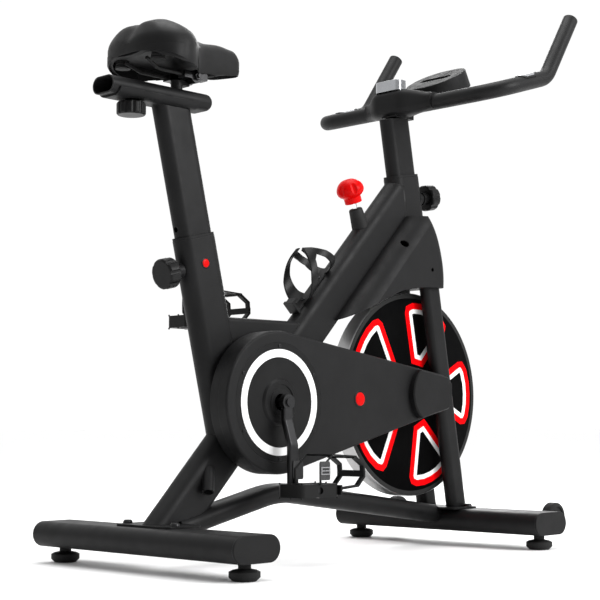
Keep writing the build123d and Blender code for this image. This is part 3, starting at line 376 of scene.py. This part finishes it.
def circle(radius, count=32, centre=(0.0, 0.0)):
    return [(centre[0] + radius * math.cos(2 * math.pi * k / count),
             centre[1] + radius * math.sin(2 * math.pi * k / count)) for k in range(count)]


def round_rings(profile, matrix, sides, unit=MM):
    """Circles round the matrix's z axis from (radius in units, height in mm) pairs."""
    return [[matrix @ Vector((x, y, h * MM)) for x, y in circle(r * unit, sides)]
            for r, h in profile]


# ---- saddle: the tables give a half width or a height at each X, in layout millimetres ----
SPINE = (-440.0, -232.0)            # the dome closes on this part of the centre line


def lerp_table(table, x):
    """Smooth step between a table's rows."""
    if x <= table[0][0]:
        return table[0][1]
    for (xa, a), (xb, b) in zip(table, table[1:]):
        if x <= xb:
            t = (x - xa) / (xb - xa)
            t = t * t * (3 - 2 * t)
            return a + (b - a) * t
    return table[-1][1]


PLAN = [(-478, 0), (-476, 36), (-469, 62), (-458, 80), (-440, 93), (-414, 98), (-392, 91),
        (-372, 74), (-352, 54), (-334, 41), (-310, 34), (-280, 29.5), (-250, 26), (-228, 23),
        (-216, 17), (-210, 8), (-208, 0)]
CREST = [(-480, 968), (-455, 985), (-425, 991), (-385, 986), (-345, 976), (-310, 973),
         (-265, 977), (-228, 974), (-208, 962)]
WAIST = [(-480, 945), (-420, 940), (-340, 944), (-280, 950), (-205, 950)]
HEM = [(-480, 925), (-455, 911), (-420, 904), (-387, 903), (-345, 905), (-300, 911),
       (-260, 917), (-205, 925)]
FLOOR = [(-480, 932.5), (-440, 934.5), (-380, 933.7), (-330, 930), (-270, 930), (-200, 936)]


def nearest_on_spine(p):
    return Vector((min(max(p.x, SPINE[0]), SPINE[1]), 0.0))


def smooth_plan(count):
    """Points round the plan outline, evenly spaced, starting at the nose."""
    half = [Vector(p) for p in PLAN]
    dense = []
    for i in range(len(half) - 1):
        p0, p1, p2, p3 = (half[max(0, min(len(half) - 1, i + k))] for k in (-1, 0, 1, 2))
        if i == 0:
            p0 = Vector((p2.x, -p2.y))
        if i == len(half) - 2:
            p3 = Vector((p1.x, -p1.y))
        for k in range(12):
            t = k / 12
            dense.append(0.5 * ((2 * p1) + (p2 - p0) * t + (2 * p0 - 5 * p1 + 4 * p2 - p3) * t * t
                                + (3 * p1 - p0 - 3 * p2 + p3) * t ** 3))
    dense.append(half[-1])
    loop = dense + [Vector((p.x, -p.y)) for p in reversed(dense[1:-1])]
    total = [0.0]
    for a, b in zip(loop, loop[1:] + loop[:1]):
        total.append(total[-1] + (b - a).length)
    out, k = [], 0
    for i in range(count):
        want = total[-1] * i / count
        while total[k + 1] < want:
            k += 1
        t = (want - total[k]) / (total[k + 1] - total[k])
        out.append(loop[k].lerp(loop[(k + 1) % len(loop)], t))
    return out


def saddle_top():
    """Closed padded form: crowned top, full sides, tucked hem and an underside."""
    outline = smooth_plan(176)
    dome = [0.0, 0.12, 0.24, 0.36, 0.48, 0.58, 0.67, 0.75, 0.82, 0.88, 0.93, 0.97, 1.0]
    sides = [0.0, 0.15, 0.3, 0.45, 0.6, 0.75, 0.88, 0.96, 1.0]
    rings = []
    for f in dome[1:]:
        ring = []
        for p in outline:
            q = nearest_on_spine(p).lerp(p, f)
            crest, waist = lerp_table(CREST, q.x), lerp_table(WAIST, p.x)
            z = waist + (crest - waist) * (1 - f ** 2.5) ** 0.56
            wide = max(0.0, min(1.0, (-352 - q.x) / 70))
            z -= 5.5 * wide * math.exp(-(q.y / 13.0) ** 2)
            z += 2.0 * wide * math.exp(-((abs(q.y) - 40.0) / 20.0) ** 2)
            ring.append(Vector((q.x, q.y, z)))
        rings.append(ring)
    normals = []
    for i, p in enumerate(outline):
        d = (outline[(i + 1) % len(outline)] - outline[i - 1]).normalized()
        n = Vector((-d.y, d.x))
        normals.append(n if n.dot(nearest_on_spine(p) - p) > 0 else -n)
    for g in sides[1:]:
        tuck = 2.2 * g ** 5
        ring = []
        for p, n in zip(outline, normals):
            waist, hem = lerp_table(WAIST, p.x), lerp_table(HEM, p.x)
            q = p + n * tuck
            ring.append(Vector((q.x, q.y, waist + (hem - waist) * g)))
        rings.append(ring)
    for deep, share in ((2.6, 0.0), (2.75, 0.5), (2.8, 1.0), (12.0, 1.0), (22.0, 1.0)):
        ring = []
        for p, n in zip(outline, normals):
            hem, roof = lerp_table(HEM, p.x), lerp_table(FLOOR, p.x)
            q = p + n * deep if deep < 10 else p.lerp(nearest_on_spine(p), deep / 24.0)
            ring.append(Vector((q.x, q.y, hem + (roof - hem) * share)))
        rings.append(ring)
    bm = bmesh.new()
    rows = loft(bm, [[at(*v) for v in ring] for ring in rings], caps=False)
    for row in (rows[0], rows[-1]):
        close_spine(bm, row)
    return bm


def close_spine(bm, row):
    """Bridge the innermost ring across the centre line with a strip of quads."""
    count = len(row)
    for i in range(count // 2):
        a, b = row[i], row[i + 1]
        c, d = row[(count - i - 1) % count], row[(count - i) % count]
        corners = []
        for v in (a, b, c, d):
            if v not in corners:
                corners.append(v)
        if len(corners) >= 3:
            bm.faces.new(corners)


cushion_bm = saddle_top()
cushion_tree = BVHTree.FromBMesh(cushion_bm)
cushion = put("saddle_pad", cushion_bm, LEATHER, "saddle", angle=70.0)
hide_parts("saddle_cushion")


def on_saddle(x, y):
    """The point of the cushion straight under (x, y), looked for from well above it."""
    return cushion_tree.ray_cast(at(x, y, 1200.0), Vector((0, 0, -1)))[0]


bm = bmesh.new()
for side_y in (-1, 1):
    for shift in (-1.6, 1.6):
        path = []
        for k in range(25):
            y = side_y * (40.5 - 40.5 * k / 24)
            x = -318.0 + shift - 16.0 * (abs(y) / 40.0) ** 2
            hit = on_saddle(x, y)
            if hit is not None:
                path.append(hit + Vector((0, 0, -0.1 * MM)))
        for k in range(0, len(path) - 1, 2):
            tube(bm, [path[k], path[k].lerp(path[k + 1], 0.75)], 0.45 * MM, 6)
put("saddle_stitches", bm, THREAD, "saddle")


# ---- flywheel graphic -------------------------------------------------------------------
WINDOW_ANGLES = (1.0, 73.0, 145.0, 217.0, 289.0)
RED_WIDTH, WHITE_WIDTH = 13.0, 9.5  # the two bands round each window
DISC_FACE, PRINT_FACE = 19.0, 19.6  # their heights out from the wheel's middle plane
WINDOW = [(66, -17), (162, -67), (177, -66), (188, -52), (195, -26), (197, 0), (195, 26),
          (187, 54), (173, 71), (158, 70), (62, 20)]


def polar_outline(points, turn, mirror_it):
    a = math.radians(turn)
    out = [Vector((u * math.cos(a) - v * math.sin(a), u * math.sin(a) + v * math.cos(a)))
           for u, v in points]
    return [Vector((p.x * (-1 if mirror_it else 1), p.y)) for p in out]


def band(bm, outer, inner, matrix, height):
    """Flat raised band between two outlines with the same number of points."""
    count = len(outer)
    top = [[bm.verts.new(matrix @ Vector((p[0] * MM, p[1] * MM, height))) for p in ring]
           for ring in (outer, inner)]
    low = [[bm.verts.new(matrix @ Vector((p[0] * MM, p[1] * MM, 0.0))) for p in ring]
           for ring in (outer, inner)]
    for i in range(count):
        j = (i + 1) % count
        bm.faces.new((top[0][i], top[0][j], top[1][j], top[1][i]))
        bm.faces.new((low[0][i], low[1][i], low[1][j], low[0][j]))
        bm.faces.new((top[0][i], low[0][i], low[0][j], top[0][j]))
        bm.faces.new((top[1][i], top[1][j], low[1][j], low[1][i]))


def winding(points):
    area = sum(a[0] * b[1] - b[0] * a[1] for a, b in zip(points, points[1:] + points[:1]))
    return points if area > 0 else points[::-1]


def turned(bm, profile, matrix, sides):
    """Body of revolution from (radius, height) pairs; the last pair joins the first."""
    rings = round_rings(profile, matrix, sides)
    loft(bm, rings + [rings[0]], caps=False)


DISC_PROFILE = ((204.0, -0.4), (204.0, 0.25), (203.2, 0.6), (27.0, 0.6), (27.0, -0.4))
HUB_PROFILE = ((46, 0.4), (46, 1.4), (44, 2.2), (33, 2.2), (31, 1.0), (28.5, 1.0), (28.5, 0.4))

for side, side_name in ((-1, "right"), (1, "left")):
    matrix = frame_at(AXLE + Vector((0, side * DISC_FACE * MM, 0)), (0, side, 0))
    disc = bmesh.new()
    turned(disc, DISC_PROFILE, matrix, 160)
    put(f"{side_name}_wheel_disc", disc, DISC, "flywheel_set")
    matrix = frame_at(AXLE + Vector((0, side * PRINT_FACE * MM, 0)), (0, side, 0))
    red, white, hub = bmesh.new(), bmesh.new(), bmesh.new()
    for angle in WINDOW_ANGLES:
        outer = winding([tuple(p) for p in polar_outline(WINDOW, angle, side > 0)])
        edge = inset(outer, RED_WIDTH)
        core = inset(edge, WHITE_WIDTH)
        band(red, outer, edge, matrix, 0.3 * MM)
        band(white, edge, core, matrix, 0.35 * MM)
    put(f"{side_name}_wheel_red", red, RED_PRINT, "flywheel_set", smooth=False)
    put(f"{side_name}_wheel_white", white, WHITE_PRINT, "flywheel_set",
        smooth=False)
    turned(hub, HUB_PROFILE, matrix, 64)
    put(f"{side_name}_hub_ring", hub, DARK, "flywheel_set")

# ---- badges: plain round dots -----------------------------------------------------------
RIM_PROFILE = ((1.28, -0.4), (1.28, 0.5), (1.18, 0.9), (1.0, 0.9), (1.0, 0.3))
DOT_PROFILE = ((0.98, 0.2), (0.98, 1.0), (0.9, 1.35), (0.6, 1.65), (0.25, 1.78))


def badge(name, place, out, radius, body):
    """Domed red dot in a black rim; the profiles' radii are shares of its radius."""
    matrix = frame_at(place, out)
    rim, dot = bmesh.new(), bmesh.new()
    loft(rim, round_rings(RIM_PROFILE, matrix, 48, radius))
    put(name + "_rim", rim, FINE_PLASTIC, body)
    loft(dot, round_rings(DOT_PROFILE, matrix, 48, radius))
    put(name, dot, RED, body)


guard_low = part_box("belt_guard_outer")[0]
badge("guard_badge", (33 * MM, guard_low.y, 308 * MM), (0, -1, 0), 13.5 * MM, "frame")
badge("seat_badge", at(-306.5, -23.5, 556), (0, -1, 0), 8.0 * MM, "frame")

# ---- pulse sensors on the handlebar -----------------------------------------------------
def bar_patch(bm, start, end, radius, spread, taper, lift):
    """Curved plate that wraps the top of a straight run of the bar."""
    start, end = Vector(start), Vector(end)
    along = (end - start).normalized()
    side = along.cross(Vector((0, 0, 1))).normalized()
    up = side.cross(along)
    rings = []
    steps = 14
    for i in range(steps + 1):
        t = i / steps
        width = spread * min(1.0, (0.12 + t / taper) if t < taper else 1.0,
                             0.12 + (1 - t) / taper)
        centre = start.lerp(end, t)
        ring = []
        for r, order in ((radius + lift, 1), (radius - 0.3 * MM, -1)):
            angles = [width * (k / 10 * 2 - 1) for k in range(11)][::order]
            ring += [centre + (up * math.cos(a) + side * math.sin(a)) * r for a in angles]
        rings.append(ring)
    loft(bm, rings)


BAR_A, BAR_B = at(285, 0, 940.5), at(456, 0, 994)    # ends of the bar's straight forward run
BAR_OUT = 256                                        # the run's distance from the middle
for side, side_name in ((-1, "right"), (1, "left")):
    shift = Vector((0, side * BAR_OUT * MM, 0))
    a, b = (BAR_A.lerp(BAR_B, t) + shift for t in (0.40, 0.80))
    bm = bmesh.new()
    bar_patch(bm, a, b, 16.5 * MM, 1.05, 0.3, 1.3 * MM)
    put(f"{side_name}_sensor_base", bm, FINE_PLASTIC, "bar_mast")
    a, b = (BAR_A.lerp(BAR_B, t) + shift for t in (0.44, 0.76))
    bm = bmesh.new()
    bar_patch(bm, a, b, 17.6 * MM, 0.78, 0.3, 0.7 * MM)
    put(f"{side_name}_pulse_sensor", bm, SILVER, "bar_mast")

# ---- display ----------------------------------------------------------------------------
low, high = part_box("monitor")
centre = Vector(((low.x + high.x) / 2, -8 * MM, high.z - 1.5 * MM))
screen = frame_at(centre, (0, 0, 1), (1, 0, 0))
lens = finish("display_lens", (0.02, 0.024, 0.022), 0.08, 300.0, 0.02, 0.2, 0.5, edge=0.0)
segment = finish("display_segments", (0.16, 0.19, 0.17), 0.2, 300.0, 0.02, 0.1, 0.5, edge=0.0)
bm = bmesh.new()
outline = [(x * MM, y * MM) for x, y in ((-20.4, -8.4), (20.4, -8.4), (20.4, 8.4), (-20.4, 8.4))]
plate(bm, outline, 0.0, 1.0 * MM, screen, 0.5 * MM)
put("display_lens", bm, lens, "bar_mast", smooth=False)
bm = bmesh.new()
DIGIT = ((0, 5, 4, 1), (-2.4, 2.6, 1, 4.2), (2.4, 2.6, 1, 4.2), (0, 0, 4, 1),
         (-2.4, -2.6, 1, 4.2), (2.4, -2.6, 1, 4.2), (0, -5, 4, 1))
for k in range(4):
    x0 = -14.25 + 9.5 * k
    for x, y, w, h in DIGIT:
        corners = [((x0 + x + i * w / 2) * MM, (y + j * h / 2) * MM)
                   for i, j in ((-1, -1), (1, -1), (1, 1), (-1, 1))]
        plate(bm, corners, 0.9 * MM, 1.15 * MM, screen)
put("display_segments", bm, segment, "bar_mast", smooth=False)

# ---- moulded shroud over the stem head ---------------------------------------------------
def superellipse(half_x, half_z, power, count=48):
    points = []
    for k in range(count):
        a = 2 * math.pi * k / count
        c, d = math.cos(a), math.sin(a)
        points.append((half_x * math.copysign(abs(c) ** (2 / power), c),
                       half_z * math.copysign(abs(d) ** (2 / power), d)))
    return points


SHROUD_HALF = 92.5


def shroud_ring(y):
    """Section of the shroud at y: a full housing in the middle, a snug neck at the ends."""
    t = min(1.0, abs(y) / SHROUD_HALF)
    s = max(0.0, (t - 0.30) / 0.70)
    s = s * s * (3 - 2 * s)
    low_x, high_x = 229.5 + (264.5 - 229.5) * s, 318.5 - (318.5 - 305.5) * s
    low_z, high_z = 914.5 + (925.5 - 914.5) * s, 973.5 - (973.5 - 962.0) * s
    power = 4.2 - 1.4 * s
    mid_x, mid_z = (low_x + high_x) / 2, (low_z + high_z) / 2
    ring = []
    for u, v in superellipse((high_x - low_x) / 2, (high_z - low_z) / 2, power):
        x, z = mid_x + u, mid_z + v
        lift = max(0.0, (x - 272) / 47) * (1 - s) * max(0.0, (mid_z - z) / (mid_z - low_z))
        ring.append(at(x, y, z + 26 * lift))
    return ring


bm = bmesh.new()
cuts = [SHROUD_HALF * math.sin(math.pi / 2 * k / 22) for k in range(-22, 23)]
loft(bm, [shroud_ring(y) for y in cuts])
shroud = put("shroud_moulding", bm, PLASTIC, "bar_mast", angle=60.0)
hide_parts("console_shroud")

# ---- toe straps and buckles --------------------------------------------------------------
CRANK_LENGTH, PEDAL_OUT = 161.5, 156    # at rest the left pedal is up and the right one down
STRAP_OUTLINE = ((-11, -17), (11, -17), (13, -14), (13, 14), (11, 17), (-11, 17), (-13, 14),
                 (-13, -14))
STRAP_PROUD = {"outer": 1.6, "inner": 0.3}      # the inner one clears the crank arm
for side, side_name in ((1, "left"), (-1, "right")):
    body = f"{side_name}_pedal_set"
    base = CRANK + Vector((0, side * PEDAL_OUT * MM, side * CRANK_LENGTH * MM))
    for face, tag in ((1, "outer"), (-1, "inner")):
        y = face * side * 34.2 * MM
        matrix = frame_at(base + Vector((7 * MM, y, 36 * MM)), (0, face * side, 0))
        bm = bmesh.new()
        outline = [(a * MM, b * MM) for a, b in STRAP_OUTLINE]
        plate(bm, outline, -1.2 * MM, STRAP_PROUD[tag] * MM, matrix, 0.2 * MM)
        put(f"{side_name}_{tag}_strap", bm, WEBBING, body)
        if tag == "inner":
            continue
        bm = bmesh.new()
        for v in (-6, 0, 6):
            ends = [matrix @ Vector((u * MM, v * MM, 2.6 * MM)) for u in (-11, 11)]
            tube(bm, ends, 1.2 * MM, 12)
        for u in (-10.5, 10.5):
            ends = [matrix @ Vector((u * MM, v * MM, 2.6 * MM)) for v in (-7, 7)]
            tube(bm, ends, 1.3 * MM, 12)
        put(f"{side_name}_buckle", bm, STEEL, body)

# ---- camera, light and floor ----------------------------------------------------------
FLOOR_HALF = 40.0                   # metres; far enough that no edge shows
floor_bm = bmesh.new()
bmesh.ops.create_grid(floor_bm, x_segments=8, y_segments=8, size=FLOOR_HALF)
floor_mesh = bpy.data.meshes.new("floor")
floor_bm.to_mesh(floor_mesh)
floor_bm.free()
floor = bpy.data.objects.new("floor", floor_mesh)
bpy.context.scene.collection.objects.link(floor)
n = Nodes("studio_floor")
n.link(n.mix(n.noise(3.0), 0.93, 0.95), "Base Color")
n.shader.inputs["Roughness"].default_value = 0.6
n.shader.inputs["Specular IOR Level"].default_value = 0.1
floor_mesh.materials.append(n.mat)

# the sky is brighter towards +X +Y, which the photo's camera faces, than the other way
world = bpy.data.worlds.new("studio")
bpy.context.scene.world = world
world.use_nodes = True
sky = world.node_tree
direction = sky.nodes.new("ShaderNodeTexCoord").outputs["Generated"]
split = sky.nodes.new("ShaderNodeSeparateXYZ")
sky.links.new(direction, split.inputs[0])
both = sky.nodes.new("ShaderNodeMath")
both.operation = "MULTIPLY_ADD"
sky.links.new(split.outputs["X"], both.inputs[0])
both.inputs[1].default_value = 1.0
sky.links.new(split.outputs["Y"], both.inputs[2])
fade = sky.nodes.new("ShaderNodeMapRange")
sky.links.new(both.outputs[0], fade.inputs["Value"])
for key, value in (("From Min", -0.9), ("From Max", 0.9), ("To Min", 0.50), ("To Max", 1.02)):
    fade.inputs[key].default_value = value
sky.links.new(fade.outputs["Result"], sky.nodes["Background"].inputs["Strength"])
sky.nodes["Background"].inputs["Color"].default_value = (1, 1, 1, 1)


def softbox(name, place, target, size, power):
    light = bpy.data.lights.new(name, "AREA")
    light.shape = "RECTANGLE"
    light.size, light.size_y = size
    light.energy = power
    obj = bpy.data.objects.new(name, light)
    obj.location = place
    obj.rotation_euler = (Vector(target) - Vector(place)).to_track_quat("-Z", "Y").to_euler()
    bpy.context.scene.collection.objects.link(obj)


softbox("key", (1.2, -3.2, 2.0), (0, 0, 0.5), (1.8, 1.6), 120.0)
softbox("top", (0.0, 0.0, 3.6), (0, 0, 0.4), (2.2, 2.2), 60.0)
softbox("rim", (2.6, 1.8, 1.8), (0, 0, 0.6), (0.8, 2.0), 30.0)
sun = bpy.data.lights.new("sky_fill", "SUN")
sun.energy = 0.95
sun.angle = math.radians(70)
bpy.context.scene.collection.objects.link(bpy.data.objects.new("sky_fill", sun))

# the camera that the photograph was solved for
CAMERA_PLACE = (-2.1261, -2.0344, 0.2616)
LENS, SENSOR = 87.816, 36.0         # millimetres
yaw, pitch, roll = (math.radians(degrees) for degrees in (45.53, 4.79, -0.13))
camera_data = bpy.data.cameras.new("camera")
camera_data.lens = LENS
camera_data.sensor_width = SENSOR
camera = bpy.data.objects.new("camera", camera_data)
look = Vector((math.sin(yaw) * math.cos(pitch), math.cos(yaw) * math.cos(pitch),
               math.sin(pitch)))
camera.matrix_world = (Matrix.Translation(CAMERA_PLACE)
                       @ look.to_track_quat("-Z", "Y").to_matrix().to_4x4()
                       @ Matrix.Rotation(roll, 4, "Z"))
bpy.context.scene.collection.objects.link(camera)
bpy.context.scene.camera = camera
bpy.context.scene.view_settings.view_transform = "Standard"
